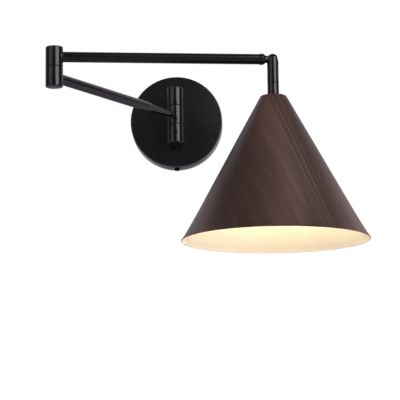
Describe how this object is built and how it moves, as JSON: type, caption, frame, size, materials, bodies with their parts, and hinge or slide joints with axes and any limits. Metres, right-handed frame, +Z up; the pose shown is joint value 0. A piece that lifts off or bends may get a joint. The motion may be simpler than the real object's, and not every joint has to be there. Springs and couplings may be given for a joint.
{
  "type": "swing arm wall sconce",
  "caption": "Hardwired wall light with a round canopy, a knuckled post, two hinged arms and a tilting walnut-finish cone shade over a screw bulb.",
  "frame": {"origin": "centre of the mounting bracket's back face, on the wall plane", "axes": "+Y into the wall, +Z up, +X to the right for a viewer facing the wall"},
  "size_m": [0.3653, 0.3565, 0.2468],
  "materials": {
    "black_metal": "satin black powder coat",
    "walnut_shade": "walnut wood grain outside, warm white enamel inside",
    "zinc_plate": "zinc plated steel",
    "brass": "plain brass",
    "nylon": "black nylon",
    "porcelain": "glazed white porcelain",
    "earth_green": "green passivated steel",
    "frosted_glass": "frosted, lit warm white"
  },
  "bodies": {
    "wall_mount": {"mounting_bracket": "zinc_plate", "earth_screw": "earth_green", "terminal_block": "porcelain", "canopy": "black_metal", "canopy_screw_top": "black_metal", "canopy_screw_bottom": "black_metal", "upper_standoff": "black_metal", "upper_post_stud": "zinc_plate", "upper_stud_washer": "zinc_plate", "upper_stud_nut": "zinc_plate", "lower_standoff": "black_metal", "lower_post_stud": "zinc_plate", "lower_stud_washer": "zinc_plate", "lower_stud_nut": "zinc_plate", "post_upper_knuckle": "black_metal", "post_upper_cap": "black_metal", "post_upper_nut": "zinc_plate", "post_upper_washer": "nylon", "post_lower_knuckle": "black_metal", "post_lower_cap": "black_metal", "post_lower_nut": "zinc_plate", "post_lower_washer": "nylon", "post_pivot_tube": "zinc_plate"},
    "lower_arm": {"post_middle_knuckle": "black_metal", "post_grub_screw": "black_metal", "lower_arm_tube": "black_metal", "elbow_lower_knuckle": "black_metal", "elbow_lower_cap": "black_metal", "elbow_lower_nut": "zinc_plate", "elbow_pivot_tube": "zinc_plate", "elbow_washer": "nylon", "elbow_upper_nut": "zinc_plate"},
    "upper_arm": {"elbow_upper_knuckle": "black_metal", "elbow_upper_cap": "black_metal", "upper_arm_tube": "black_metal", "arm_end_collar": "black_metal", "tilt_stud": "black_metal", "tilt_nut": "zinc_plate"},
    "shade_head": {"stem_head": "black_metal", "head_plug": "black_metal", "stem_lower": "black_metal", "nipple": "zinc_plate", "shade": "walnut_shade", "shade_washer": "zinc_plate", "shade_nut": "zinc_plate", "lampholder_cap": "porcelain", "lampholder_nut": "zinc_plate", "lampholder_body": "porcelain", "screw_shell": "brass", "centre_contact": "brass", "bulb_cap": "zinc_plate", "bulb_contact": "brass", "bulb_glass": "frosted_glass"}
  },
  "joints": [
    {"name": "wall_swing", "type": "hinge", "parent": "wall_mount", "child": "lower_arm", "pos_m": [0, -0.064, 0], "axis": [0, 0, 1], "range_deg": [-58, 120]},
    {"name": "elbow_swing", "type": "hinge", "parent": "lower_arm", "child": "upper_arm", "pos_m": [-0.12951, -0.27784, 0.0237], "axis": [0, 0, 1], "range_deg": [-220, 10]},
    {"name": "shade_tilt", "type": "hinge", "parent": "upper_arm", "child": "shade_head", "pos_m": [0.11889, -0.24954, 0.0237], "axis": [0.9936, 0.1132, 0], "range_deg": [-90, 30]}
  ]
}
